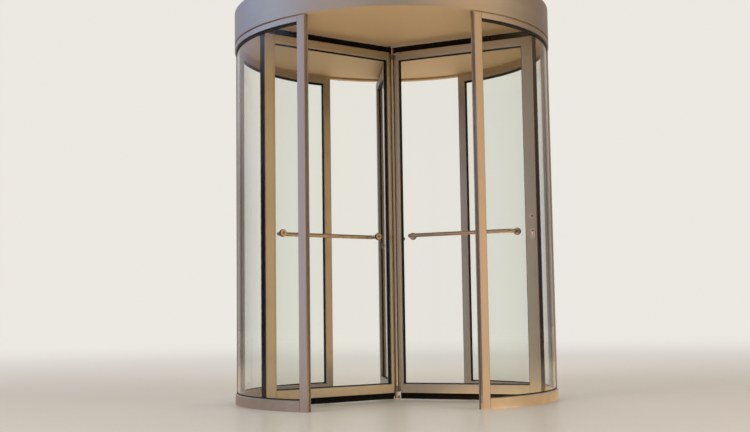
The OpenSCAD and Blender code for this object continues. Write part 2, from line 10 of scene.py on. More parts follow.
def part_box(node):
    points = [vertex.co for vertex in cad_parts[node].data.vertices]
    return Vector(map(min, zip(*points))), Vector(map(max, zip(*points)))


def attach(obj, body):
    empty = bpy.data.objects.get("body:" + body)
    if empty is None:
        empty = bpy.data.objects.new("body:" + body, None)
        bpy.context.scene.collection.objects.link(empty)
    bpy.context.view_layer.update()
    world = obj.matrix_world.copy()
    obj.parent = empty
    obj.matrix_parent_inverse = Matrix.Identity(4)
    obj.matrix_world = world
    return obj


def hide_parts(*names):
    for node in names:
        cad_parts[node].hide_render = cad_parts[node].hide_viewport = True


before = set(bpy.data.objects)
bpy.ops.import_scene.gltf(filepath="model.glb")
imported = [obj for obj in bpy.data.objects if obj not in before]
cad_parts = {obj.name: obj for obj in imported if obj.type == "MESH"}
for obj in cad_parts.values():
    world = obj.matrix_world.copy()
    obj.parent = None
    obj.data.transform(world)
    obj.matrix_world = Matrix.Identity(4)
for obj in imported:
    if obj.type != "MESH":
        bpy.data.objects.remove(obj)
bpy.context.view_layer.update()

bl_info = {
    "name": "Revolving Door",
    "version": (1, 0, 0),
    "blender": (4, 5, 0),
    "location": "View3D > Sidebar > Revolving Door",
    "description": "Dresses a glass drum with a three-wing rotor and lights it in a pale studio",
    "category": "Object",
}


def foot_of(node):
    """The height of a node's lower end at rest."""
    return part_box(node)[0].z


def top_of(node):
    """The height of a node's upper end at rest."""
    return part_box(node)[1].z


# Lengths are in metres and angles in degrees. Heights start at the floor, radii at the door's
# axis. What isn't worked out from the boxes of the frame repeats the sizes of the solids.

# Drum
DRUM_OUT_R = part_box("roof_cover")[1].x
WALL_D = 0.040
WALL_R = DRUM_OUT_R - WALL_D / 2
CLEAR_H, CEILING_Z = foot_of("soffit_ring"), top_of("soffit_ring")
ROOF_LOW, SEAM_H = foot_of("roof_cover"), 0.008
POST_W = 0.052
# The angle of each entrance post, and 1 or -1 for the side on which its entrance lies
POSTS = {
    "front_left_post": (239.75, 1), "front_right_post": (300.25, -1),
    "rear_left_post": (120.25, -1), "rear_right_post": (59.75, 1),
}

# Rotor
WING_DEG = {"rear_wing": 96.7, "left_wing": 216.7, "right_wing": 336.7}
WING_LOW, WING_TOP = foot_of("left_wing_outer_stile"), top_of("left_wing_outer_stile")
WING_T = 0.050
WING_OUT_R = 0.968
STILE_MID_R = 0.047
BRUSH_T, BRUSH_SEAT = 0.016, 0.005
BRUSH_R = 0.985
BRUSH_FOOT_R, BRUSH_HEAD_R = 0.029, 0.013
# Clear distance over and under the brushes
SWEEP_GAP = 0.005
BRUSH_LOW, BRUSH_TOP = SWEEP_GAP, CEILING_Z - SWEEP_GAP
BAR_Z = (foot_of("left_wing_push_bar") + top_of("left_wing_push_bar")) / 2
BAR_IN_R, BAR_OUT_R = 0.131, 0.836
LOCK_W, LOCK_T, LOCK_BACKSET, LOCK_SPACING = 0.032, 0.005, 0.026, 0.092
LOCK_R = WING_OUT_R - LOCK_BACKSET
CYLINDER_Z = foot_of("wing_lock") + 1.5 * LOCK_W
FOLLOWER_Z = CYLINDER_Z + LOCK_SPACING
HUB_LOWS, HUB_H = (foot_of("hubs"), top_of("centre_tube")), 0.038
TUBE_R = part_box("centre_tube")[1].x
# How far the faces of the glass, the bar's discs and the lock lie from a wing's middle
GLASS_FACE, DISC_FACE, LOCK_FACE = 0.004, 0.011, WING_T / 2 + LOCK_T

# How far a screw head is sunk and stands proud, and its socket's share of its radius
SCREW_SUNK, SCREW_PROUD, SOCKET_SHARE = 0.0008, 0.0011, 0.46

# The photograph's frame in pixels, and where the lens's axis meets it
FRAME_W, FRAME_H = 750, 432
AXIS_X, AXIS_Y = 400.0, 216.0
FOCUS_PX = 1103.88
SENSOR_MM = 36.0

FLOOR_R, FLOOR_Z = 45.0, -0.0006

# What metal and glass mirror, high up and near the horizon, by the way round the door's axis:
# 0 and 1 lie behind the door, 0.25 to its left, 0.5 towards the street and 0.75 to its right
MIRRORED_HIGH = (
    (0.0, (0.54, 0.52, 0.50)), (0.10, (0.54, 0.53, 0.54)), (0.14, (0.52, 0.58, 1.02)),
    (0.20, (0.85, 1.04, 1.42)), (0.27, (0.82, 1.03, 1.40)), (0.318, (0.51, 0.46, 0.58)),
    (0.355, (0.34, 0.29, 0.36)), (0.40, (0.30, 0.24, 0.22)), (0.44, (0.42, 0.33, 0.24)),
    (0.54, (0.43, 0.31, 0.18)), (0.632, (0.71, 0.41, 0.14)), (0.69, (0.82, 0.49, 0.18)),
    (0.735, (0.54, 0.35, 0.14)), (0.79, (0.44, 0.30, 0.15)), (0.87, (0.32, 0.20, 0.14)),
    (1.0, (0.54, 0.52, 0.50)))
MIRRORED_LEVEL = (
    (0.0, (0.52, 0.50, 0.48)), (0.10, (0.22, 0.19, 0.17)), (0.16, (0.12, 0.10, 0.09)),
    (0.26, (0.18, 0.16, 0.18)), (0.318, (0.82, 0.80, 1.0)), (0.342, (0.88, 0.68, 0.60)),
    (0.362, (0.68, 0.51, 0.45)), (0.392, (1.55, 1.10, 0.92)), (0.46, (0.34, 0.24, 0.17)),
    (0.54, (0.36, 0.25, 0.16)), (0.62, (1.35, 0.72, 0.28)), (0.683, (1.50, 0.84, 0.32)),
    (0.705, (1.45, 1.10, 0.95)), (0.75, (0.80, 0.47, 0.22)), (0.80, (0.14, 0.09, 0.06)),
    (0.90, (0.20, 0.15, 0.12)), (1.0, (0.52, 0.50, 0.48)))
MIRRORED_DUSK, MIRRORED_TOP = (0.36, 0.22, 0.14), (0.74, 0.72, 0.69)

# Painted reflections of the floor, the colours in which it glows where metal and glass mirror it:
# before the door from left to right, inside it to the right of its middle, and behind and round it
FLOOR_LEFT, FLOOR_MIDDLE, FLOOR_RIGHT = (0.42, 0.28, 0.19), (0.66, 0.45, 0.30), (1.05, 0.66, 0.30)
FLOOR_INSIDE, FLOOR_ROUND = (1.80, 1.12, 0.55), (0.44, 0.37, 0.30)


class StageSettings(bpy.types.PropertyGroup):
    """Camera, floor and lights of the studio"""
    camera_place: FloatVectorProperty(
        name="Camera Place", description="Where the camera stands",
        subtype="TRANSLATION", unit="LENGTH", default=(0.1033, -7.191, 0.5193))
    camera_yaw: FloatProperty(
        name="Yaw", description="Turn of the view to the right",
        subtype="ANGLE", unit="ROTATION", default=math.radians(-0.5259))
    camera_pitch: FloatProperty(
        name="Pitch", description="Tilt of the view upwards",
        subtype="ANGLE", unit="ROTATION", default=math.radians(5.301))
    camera_roll: FloatProperty(
        name="Roll", description="Turn of the view about its own axis",
        subtype="ANGLE", unit="ROTATION", default=math.radians(-0.9237))
    floor_colour: FloatVectorProperty(
        name="Floor", description="Colour of the studio floor",
        subtype="COLOR", size=3, min=0, max=1, default=(0.62, 0.56, 0.48))
    backdrop_colour: FloatVectorProperty(
        name="Backdrop", description="Colour of the pale background",
        subtype="COLOR", size=3, min=0, max=1, default=(0.84, 0.81, 0.76))
    sky_light: FloatProperty(
        name="Sky Light", description="Strength of the even light from all round",
        default=0.62, min=0)
    key_power: FloatProperty(
        name="Key Light", description="Power of the large lamp at the left",
        unit="POWER", default=230, min=0)
    fill_power: FloatProperty(
        name="Fill Light", description="Power of the large lamps at the right and behind",
        unit="POWER", default=150, min=0)
    ceiling_power: FloatProperty(
        name="Ceiling Light", description="Power of the low lamps that light the ceiling",
        unit="POWER", default=8, min=0)


class FinishSettings(bpy.types.PropertyGroup):
    """Colours of the door's metal, glass, rubber and paint"""
    satin_colour: FloatVectorProperty(
        name="Drum Aluminium", description="Colour of the posts, rails and fascia",
        subtype="COLOR", size=3, min=0, max=1, default=(0.50, 0.49, 0.475))
    wing_colour: FloatVectorProperty(
        name="Wing Aluminium", description="Colour of the wing frames",
        subtype="COLOR", size=3, min=0, max=1, default=(0.44, 0.455, 0.42))
    steel_colour: FloatVectorProperty(
        name="Stainless Steel", description="Colour of the push bars, the centre and the screws",
        subtype="COLOR", size=3, min=0, max=1, default=(0.57, 0.545, 0.51))
    ceiling_colour: FloatVectorProperty(
        name="Ceiling", description="Colour of the painted ceiling",
        subtype="COLOR", size=3, min=0, max=1, default=(0.63, 0.425, 0.225))
    glass_colour: FloatVectorProperty(
        name="Glass", description="Tint of the glass",
        subtype="COLOR", size=3, min=0, max=1, default=(0.93, 0.945, 0.925))
    rubber_colour: FloatVectorProperty(
        name="Rubber", description="Colour of the gaskets and bristles",
        subtype="COLOR", size=3, min=0, max=1, default=(0.010, 0.009, 0.009))


class DetailSettings(bpy.types.PropertyGroup):
    """Sizes of the bristles and fixings"""
    tuft_pitch: FloatProperty(
        name="Tuft Pitch", description="Distance between the tufts of a brush strip",
        unit="LENGTH", default=0.0036, min=0.001)
    tuft_radius: FloatProperty(
        name="Tuft Radius", description="Radius of a tuft of the brush strips",
        unit="LENGTH", default=0.0019, min=0.0005)
    tuft_rows: IntProperty(
        name="Tuft Rows", description="Rows of tufts across a brush strip", default=5, min=2)
    screw_radius: FloatProperty(
        name="Screw Radius", description="Radius of a countersunk screw head",
        unit="LENGTH", default=0.0048, min=0.001)
    rivet_radius: FloatProperty(
        name="Rivet Radius", description="Radius of a rivet of the fascia",
        unit="LENGTH", default=0.0042, min=0.001)


# Shader nodes


class Wire:
    """A shader socket that takes part in Python arithmetic."""

    def __init__(self, book, socket):
        self.book, self.socket = book, socket

    def __add__(self, other):
        return self.book.maths("ADD", self, other)

    def __radd__(self, other):
        return self.book.maths("ADD", other, self)

    def __sub__(self, other):
        return self.book.maths("SUBTRACT", self, other)

    def __rsub__(self, other):
        return self.book.maths("SUBTRACT", other, self)

    def __mul__(self, other):
        return self.book.maths("MULTIPLY", self, other)

    def __rmul__(self, other):
        return self.book.maths("MULTIPLY", other, self)

    def __truediv__(self, other):
        return self.book.maths("DIVIDE", self, other)

    def __rtruediv__(self, other):
        return self.book.maths("DIVIDE", other, self)

    def __pow__(self, other):
        return self.book.maths("POWER", self, other)

    def __rpow__(self, other):
        return self.book.maths("POWER", other, self)


class Book:
    """The nodes of one finish or of the world."""

    def __init__(self, owner):
        owner.use_nodes = True
        self.owner, self.tree = owner, owner.node_tree
        self.tree.nodes.clear()

    def node(self, kind, settings=None, sockets=None, out=0):
        """Adds a node, sets it, and gives or links the values of its sockets."""
        made = self.tree.nodes.new(kind)
        for key, value in (settings or {}).items():
            if key == "stops":
                ramp = made.color_ramp
                while len(ramp.elements) < len(value):
                    ramp.elements.new(1.0)
                for element, (place, colour) in zip(ramp.elements, value):
                    element.position, element.color = place, (*colour, 1.0)
            else:
                setattr(made, key, value)
        for key, value in (sockets or {}).items():
            if isinstance(value, Wire):
                self.tree.links.new(value.socket, made.inputs[key])
            else:
                made.inputs[key].default_value = value
        return Wire(self, made.outputs[out])

    def maths(self, operation, first, second):
        return self.node("ShaderNodeMath", {"operation": operation}, {0: first, 1: second})

    def tint(self, factor, first, second, blend="MIX"):
        """Mixes two colours, which are the Mix node's sockets 6 and 7, into its output 2."""
        first = first if isinstance(first, Wire) else (*first, 1.0)
        second = second if isinstance(second, Wire) else (*second, 1.0)
        return self.node(
            "ShaderNodeMix", {"data_type": "RGBA", "blend_type": blend},
            {0: factor, 6: first, 7: second}, out=2)

    def place(self):
        """The place on the piece, in metres."""
        return self.node("ShaderNodeTexCoord", out="Object")

    def noise(self, vector, scale, detail=2.0, rough=0.5):
        return self.node(
            "ShaderNodeTexNoise", None,
            {"Vector": vector, "Scale": scale, "Detail": detail, "Roughness": rough})

    def turned(self, vector, deg):
        """Coordinates whose x runs along a level direction at this angle."""
        return self.node(
            "ShaderNodeMapping", None,
            {"Vector": vector, "Rotation": (0.0, 0.0, math.radians(-deg))})

    def drawn(self, vector, along, across, detail, rough):
        """Noise with so many waves a metre along x and across it."""
        stretched = self.node(
            "ShaderNodeMapping", None, {"Vector": vector, "Scale": (along, across, across)})
        return self.noise(stretched, 1.0, detail, rough)

    def split(self, vector):
        made = self.node("ShaderNodeSeparateXYZ", None, {0: vector}).socket.node
        return [Wire(self, socket) for socket in made.outputs]

    def join(self, x, y, z):
        return self.node("ShaderNodeCombineXYZ", None, {0: x, 1: y, 2: z})

    def band(self, value, low, high):
        """Rises smoothly from 0 at low to 1 at high."""
        return self.node(
            "ShaderNodeMapRange", {"interpolation_type": "SMOOTHSTEP"}, {0: value, 1: low, 2: high})

    def bump(self, height, strength, distance):
        return self.node(
            "ShaderNodeBump", None, {"Height": height, "Strength": strength, "Distance": distance})

    def principled(self, sockets):
        return self.node("ShaderNodeBsdfPrincipled", None, sockets)

    def either(self, factor, first, second):
        """The first shader where the factor is 0, the second where it is 1."""
        return self.node("ShaderNodeMixShader", None, {0: factor, 1: first, 2: second})

    def surface(self, shader):
        """Ends the nodes in this shader, and gives back the finished material or world."""
        kind = "Material" if isinstance(self.owner, bpy.types.Material) else "World"
        end = self.tree.nodes.new("ShaderNodeOutput" + kind)
        self.tree.links.new(shader.socket, end.inputs["Surface"])
        return self.owner


def new_finish(name):
    return Book(bpy.data.materials.new(name))


def scaled(colour, share):
    return [share * c for c in colour]


def grain_place(book, run):
    """Coordinates whose x runs along the metal's grain: up, round the axis, or at an angle."""
    at = book.place()
    if run == "up":
        x, y, z = book.split(at)
        return book.join(z, x, y)
    if run == "round":
        x, y, z = book.split(at)
        angle = book.maths("ARCTAN2", y, x)
        radius = (x * x + y * y) ** 0.5
        return book.join(angle * WALL_R, radius, z)
    return book.turned(at, run)


def metal(name, colour, run, rough=0.33, fine=1.0, grain=0.10, dull_low=True):
    """Metal with a drawn or brushed grain, faint handling marks and a duller foot."""
    book = new_finish(name)
    along = grain_place(book, run)
    strands = book.drawn(along, 9.0, 620.0 * fine, 3.0, 0.6)
    streaks = book.drawn(along, 0.9, 46.0, 2.0, 0.55)
    marks = book.noise(book.place(), 5.5, 4.0, 0.62)
    smears = book.band(marks, 0.52, 0.74)
    shade = 0.93 + 0.10 * streaks + 0.05 * strands
    tone = book.join(shade, shade, shade)
    base = book.tint(1.0, colour, tone, "MULTIPLY")
    base = book.tint(smears * 0.10, base, scaled(colour, 0.72))
    gloss = rough - grain / 2 + grain * strands + 0.06 * streaks + 0.05 * smears
    if dull_low:
        height = book.split(book.place())[2]
        splash = book.band(book.noise(book.place(), 21.0, 3.0), 0.30, 0.62)
        foot = book.band(height, 0.16, 0.0) * splash
        base = book.tint(foot * 0.16, base, scaled(colour, 0.62))
        gloss = gloss + 0.06 * foot
    return book.surface(book.principled({
        "Base Color": base, "Metallic": 1.0, "Roughness": gloss,
        "Normal": book.bump(strands, 0.05, 0.0004)}))


def paint(name, colour):
    """Rolled paint with a fine orange peel and a faint unevenness."""
    book = new_finish(name)
    at = book.place()
    peel = book.noise(at, 320.0, 2.0)
    cloud = book.noise(at, 1.7, 3.0)
    base = book.tint(0.20 * cloud, colour, scaled(colour, 0.84))
    return book.surface(book.principled({
        "Base Color": base, "Roughness": 0.49 + 0.12 * cloud,
        "Normal": book.bump(peel, 0.06, 0.0006)}))


def glazing(name, colour):
    """Clear float glass with a faint wave and film, which lets light through in its shadow."""
    book = new_finish(name)
    at = book.place()
    wave = book.noise(at, 1.6, 1.0)
    film = book.band(book.noise(at, 3.4, 4.0, 0.6), 0.5, 0.85)
    base = book.tint(film * 0.05, colour, scaled(colour, 0.9))
    body = book.principled({
        "Base Color": base, "Roughness": 0.0, "IOR": 1.28, "Transmission Weight": 1.0,
        "Specular Tint": (0.25, 0.23, 0.21, 1.0),
        "Normal": book.bump(wave, 0.05, 0.02)})
    clear = book.node(
        "ShaderNodeBsdfTransparent", None, {"Color": (*scaled(colour, 0.93), 1.0)})
    shadow = book.node("ShaderNodeLightPath", out="Is Shadow Ray")
    return book.surface(book.either(shadow, body, clear))


def rubber(name, colour, rough=0.48):
    """Extruded rubber with a faint bloom and a fine skin."""
    book = new_finish(name)
    at = book.place()
    bloom = book.band(book.noise(at, 14.0, 4.0, 0.6), 0.45, 0.8)
    skin = book.noise(at, 900.0, 2.0)
    base = book.tint(bloom * 0.35, colour, (0.04, 0.037, 0.034))
    return book.surface(book.principled({
        "Base Color": base, "Roughness": rough + 0.2 * bloom, "Specular IOR Level": 0.25,
        "Normal": book.bump(skin, 0.12, 0.0004)}))


def bristle(name, colour):
    """Black nylon fibres with a little dust."""
    book = new_finish(name)
    at = book.place()
    fibre = book.noise(at, 700.0, 2.0)
    dust = book.band(book.noise(at, 26.0, 3.0), 0.55, 0.9)
    base = book.tint(fibre * 0.5, scaled(colour, 0.6), (0.012, 0.010, 0.009))
    base = book.tint(dust * 0.10, base, (0.06, 0.054, 0.046))
    return book.surface(book.principled({
        "Base Color": base, "Roughness": 0.65 + 0.2 * fibre, "Specular IOR Level": 0.15,
        "Normal": book.bump(fibre, 0.3, 0.001)}))


def zinc(name, colour):
    """Hot-dipped zinc with its frosty patches."""
    book = new_finish(name)
    flake = book.node(
        "ShaderNodeTexVoronoi", {"feature": "F1"}, {"Vector": book.place(), "Scale": 42.0},
        out="Color")
    grey = book.node("ShaderNodeRGBToBW", None, {0: flake})
    base = book.tint(0.45 * grey, colour, scaled(colour, 1.35))
    return book.surface(book.principled({
        "Base Color": base, "Metallic": 1.0, "Roughness": 0.36 + 0.22 * grey,
        "Normal": book.bump(grey, 0.05, 0.0006)}))


def rays(book):
    """Two masks: what is seen straight or through glass, and what is mirrored on the way."""
    straight, through, bounces = [
        book.node("ShaderNodeLightPath", out=name)
        for name in ("Is Camera Ray", "Is Transmission Ray", "Glossy Depth")]
    mirrored = book.maths("MINIMUM", bounces, 1.0)
    return book.maths("MAXIMUM", straight, through) * (1.0 - mirrored), mirrored


def round_view(book, way, stops):
    """A colour for each way round the door's axis."""
    x, y, _ = book.split(way)
    angle = book.maths("ARCTAN2", x, 0 - y)
    return book.node("ShaderNodeValToRGB", {"stops": stops}, {0: angle / math.tau + 0.5})


def studio_floor(colour, backdrop):
    """Honed pale floor that fades into the backdrop far from the door, and glows with painted
    reflections where metal and glass mirror it.
    """
    book = new_finish("studio_floor")
    at = book.place()
    x, y, _ = book.split(at)
    reach = (x * x + y * y) ** 0.5
    # Over this quotient the fade, from about 2 m to 22 m away, looks even from the camera's place
    far = book.band(1.0 / (reach + 7.4), 0.108, 0.034)
    cloud = book.noise(at, 0.9, 4.0)
    fleck = book.noise(at, 60.0, 3.0)
    base = book.tint(0.16 * cloud + 0.10 * fleck, colour, scaled(colour, 0.84))
    stone = book.principled({
        "Base Color": base, "Roughness": 0.26 + 0.1 * cloud, "Specular IOR Level": 0.45})
    pale = book.node("ShaderNodeEmission", None, {"Color": (*backdrop, 1.0), "Strength": 1.0})
    seen, mirrored = rays(book)
    floor = book.either(far * seen, stone, pale)
    tone = book.tint(book.band(x, -0.6, 0.4), FLOOR_LEFT, FLOOR_MIDDLE)
    tone = book.tint(book.band(x, 0.5, 0.9), tone, FLOOR_RIGHT)
    inside = book.band(y, -1.0, -0.80) * book.band(x, 0.10, 0.35) * book.band(x, 0.85, 0.65)
    tone = book.tint(inside, tone, FLOOR_INSIDE)
    away = book.maths("MAXIMUM", book.band(reach, 1.8, 4.0), book.band(y, 0.2, 1.0))
    tone = book.tint(away, tone, FLOOR_ROUND)
    tone = book.tint(book.band(reach, 3.5, 9.0), tone, round_view(book, at, MIRRORED_LEVEL))
    # Painted reflections: the floor glows in these colours only where it is mirrored
    glow = book.node("ShaderNodeEmission", None, {"Color": tone, "Strength": 1.25})
    return book.surface(book.either(0.85 * mirrored, floor, glow))


def studio_world(stage):
    """Pale all round where it is seen; metal and glass mirror a cool left and a warm right."""
    world = bpy.data.worlds.new("studio_world")
    bpy.context.scene.world = world
    book = Book(world)
    way = book.node("ShaderNodeTexCoord", out="Generated")
    x, _, height = book.split(way)
    level, high = round_view(book, way, MIRRORED_LEVEL), round_view(book, way, MIRRORED_HIGH)
    mirrored = book.tint(book.band(height, 0.10, 0.24), level, high)
    dusk = book.band(height, 0.13, 0.17) * book.band(height, 0.25, 0.21)
    dusk = dusk * book.band(x, -0.5, -0.8)
    mirrored = book.tint(dusk * 0.9, mirrored, MIRRORED_DUSK)
    mirrored = book.tint(book.band(height, 0.35, 0.47) * 0.95, mirrored, MIRRORED_TOP)
    pale, even, mirror = [
        book.node("ShaderNodeBackground", None, {"Color": colour, "Strength": strength})
        for colour, strength in (
            ((*stage.backdrop_colour, 1.0), 1.0),
            ((1.0, 0.985, 0.96, 1.0), stage.sky_light),
            (mirrored, 1.0))]
    seen, glossy = rays(book)
    book.surface(book.either(seen, book.either(glossy, even, mirror), pale))


# Hand tools


def alone(piece=None):
    """Leaves only this piece selected and active."""
    if bpy.context.object and bpy.context.object.mode != "OBJECT":
        bpy.ops.object.mode_set(mode="OBJECT")
    bpy.ops.object.select_all(action="DESELECT")
    bpy.context.view_layer.objects.active = piece
    if piece:
        piece.select_set(True)


@contextmanager
def shaping(piece, kind="FACE"):
    """Edit mode on one piece, with nothing selected."""
    alone(piece)
    bpy.ops.object.mode_set(mode="EDIT")
    bpy.ops.mesh.select_mode(type=kind)
    bpy.ops.mesh.select_all(action="DESELECT")
    yield
    bpy.ops.object.mode_set(mode="OBJECT")


def pick(piece, kind, test):
    """Selects the faces, edges or verts that pass the test, and nothing else."""
    bpy.ops.mesh.select_all(action="DESELECT")
    grid = bmesh.from_edit_mesh(piece.data)
    for item in getattr(grid, kind):
        if test(item):
            item.select_set(True)
    bmesh.update_edit_mesh(piece.data)


def ease_rim(piece, height, width, steps=2):
    """Rounds the edges of a blank that lie at this height."""
    with shaping(piece, "EDGE"):
        pick(piece, "edges", lambda e: all(abs(v.co.z - height) < 1e-7 for v in e.verts))
        bpy.ops.mesh.bevel(offset=width, segments=steps, affect="EDGES")


def disc(radius, low, high, sides=32, bevel=0.0, steps=2):
    """A round blank that stands on z, its upper edge rounded."""
    alone()
    bpy.ops.mesh.primitive_cylinder_add(
        vertices=sides, radius=radius, depth=high - low, location=(0, 0, (low + high) / 2))
    bpy.ops.object.transform_apply(location=True, rotation=True, scale=True)
    piece = bpy.context.object
    if bevel:
        ease_rim(piece, high, bevel, steps)
    return piece


def block(low, high, bevel=0.0, steps=2):
    """A rectangular blank between two corners, its edges eased."""
    low, high = Vector(low), Vector(high)
    alone()
    bpy.ops.mesh.primitive_cube_add(size=1.0, location=(low + high) / 2, scale=high - low)
    bpy.ops.object.transform_apply(location=True, rotation=True, scale=True)
    piece = bpy.context.object
    if bevel:
        with shaping(piece, "EDGE"):
            bpy.ops.mesh.select_all(action="SELECT")
            bpy.ops.mesh.bevel(offset=bevel, segments=steps, affect="EDGES")
    return piece


def combine(piece, other, operation):
    """Adds or cuts another blank with a boolean and takes it away."""
    alone(piece)
    cut = piece.modifiers.new("combine", "BOOLEAN")
    cut.operation, cut.object, cut.solver = operation, other, "EXACT"
    bpy.ops.object.modifier_apply(modifier=cut.name)
    bpy.data.objects.remove(other)
    return piece


def hex_socket(piece, radius, depth, height):
    """Cuts a hexagon socket round z, its middle at this height."""
    alone()
    bpy.ops.mesh.primitive_cylinder_add(
        vertices=6, radius=radius, depth=depth, location=(0, 0, height))
    return combine(piece, bpy.context.object, "DIFFERENCE")


def hex_screw(radius):
    """A countersunk screw head with a hexagon socket, its face along z."""
    head = disc(radius, -SCREW_SUNK, SCREW_PROUD, 24, 0.0006)
    return hex_socket(head, radius * SOCKET_SHARE, 0.002, 0.0013)


def turn(deg, axis="Z"):
    return Matrix.Rotation(math.radians(deg), 4, axis)


def twin(model, matrix):
    """A copy of a piece with its own mesh, moved."""
    piece = model.copy()
    piece.data = model.data.copy()
    piece.data.transform(matrix)
    bpy.context.scene.collection.objects.link(piece)
    return piece


def joined(made):
    """One piece of several."""
    alone(made[0])
    for piece in made[1:]:
        piece.select_set(True)
    if len(made) > 1:
        bpy.ops.object.join()
    return bpy.context.object


def copies(model, places):
    """One piece of a copy of the model's mesh at each place; the model goes."""
    made = [twin(model, matrix) for matrix in places]
    bpy.data.objects.remove(model)
    return joined(made)


def settle(piece, name, body, finish, smooth_deg=35.0):
    """Names, smooths and dresses a finished piece, and lets it ride on its body."""
    with shaping(piece):
        bpy.ops.mesh.select_all(action="SELECT")
        bpy.ops.mesh.normals_make_consistent(inside=False)
    alone(piece)
    bpy.ops.object.transform_apply(location=True, rotation=True, scale=True)
    bpy.ops.object.shade_smooth_by_angle(angle=math.radians(smooth_deg))
    piece.name = piece.data.name = name
    piece.data.materials.clear()
    piece.data.materials.append(finish)
    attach(piece, body)


def flat_spot(deg, reach, across, height, side):
    """On a wing or a post: reach out along its angle, across from its middle, with z turned
    out of the face on that side."""
    return turn(deg) @ Matrix.Translation((reach, across, height)) @ turn(-90.0 * side, "X")


def wall_spot(deg, radius, height):
    """On a round wall: z turned outwards."""
    return turn(deg) @ Matrix.Translation((radius, 0, height)) @ turn(90.0, "Y")


# Stage


def soft_lamp(name, place, aim, size, power, colour, spread=180):
    """A rectangular lamp that lights the door and isn't seen or mirrored."""
    alone()
    facing = (Vector(aim) - Vector(place)).to_track_quat("-Z", "Y").to_euler()
    bpy.ops.object.light_add(type="AREA", location=place, rotation=facing)
    lamp = bpy.context.object
    lamp.name, lamp.data.shape = name, "RECTANGLE"
    lamp.data.size, lamp.data.size_y = size
    lamp.data.energy, lamp.data.color, lamp.data.spread = power, colour, math.radians(spread)
    lamp.visible_camera = lamp.visible_glossy = lamp.visible_transmission = False


def photo_camera(stage):
    """The camera, with the photograph's lens and frame, turned by yaw, pitch and roll."""
    yaw, pitch, roll = stage.camera_yaw, stage.camera_pitch, stage.camera_roll
    up = Vector((0, 0, 1))
    ahead = Vector((math.sin(yaw), math.cos(yaw), 0))
    right = Vector((math.cos(yaw), -math.sin(yaw), 0))
    view = ahead * math.cos(pitch) + up * math.sin(pitch)
    top = up * math.cos(pitch) - ahead * math.sin(pitch)
    side = right * math.cos(roll) + top * math.sin(roll)
    top = top * math.cos(roll) - right * math.sin(roll)
    facing = Matrix((side, top, -view)).transposed().to_euler()
    bpy.ops.object.camera_add(location=stage.camera_place, rotation=facing)
    camera = bpy.context.object
    camera.name = "photo_camera"
    camera.data.sensor_width = SENSOR_MM
    camera.data.lens = FOCUS_PX / FRAME_W * SENSOR_MM
    camera.data.shift_x = (FRAME_W / 2 - AXIS_X) / FRAME_W
    camera.data.shift_y = (AXIS_Y - FRAME_H / 2) / FRAME_W
    return camera


class REVDOOR_OT_stage(bpy.types.Operator):
    """Lays the floor, lights the studio and sets the camera"""
    bl_idname = "revolving_door.stage"
    bl_label = "Stage"

    def execute(self, context):
        scene = context.scene
        stage = scene.revolving_door_stage
        alone()
        bpy.ops.mesh.primitive_circle_add(
            vertices=96, radius=FLOOR_R, fill_type="NGON", location=(0, 0, FLOOR_Z))
        floor = context.object
        bpy.ops.object.transform_apply(location=True, rotation=True, scale=True)
        floor.name = "studio_floor"
        floor.data.materials.append(studio_floor(stage.floor_colour, stage.backdrop_colour))
        studio_world(stage)
        cool, warm, plain = (0.94, 0.97, 1.0), (1.0, 0.94, 0.86), (1.0, 0.98, 0.95)
        key, fill = stage.key_power, stage.fill_power
        soft_lamp("key_lamp", (-4.6, -4.8, 4.2), (0, 0, 1.1), (3.4, 2.6), key, cool)
        soft_lamp("fill_lamp", (4.8, -4.2, 3.2), (0, 0, 1.0), (3.0, 2.6), fill, warm)
        soft_lamp("back_lamp", (0.6, 5.4, 4.6), (0, 0, 1.2), (3.6, 2.4), fill, plain)
        glow, low, narrow = (1.0, 0.95, 0.88), stage.ceiling_power, 70
        soft_lamp("inner_lamp", (0.2, 2.3, 0.2), (0, 0.3, 2.3), (2.2, 1.0), low, glow, narrow)
        soft_lamp(
            "street_lamp", (0, -2.6, 0.2), (0, -0.3, 2.3), (2.4, 0.8), 0.5 * low, glow, narrow)
        scene.camera = photo_camera(stage)
        scene.view_settings.view_transform = "Standard"
        return {"FINISHED"}


# Finishes of the frame's own nodes


def dress(names, finish):
    for name in names:
        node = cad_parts[name]
        node.data.materials.clear()
        node.data.materials.append(finish)


def with_end(*endings):
    return [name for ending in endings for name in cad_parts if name.endswith(ending)]


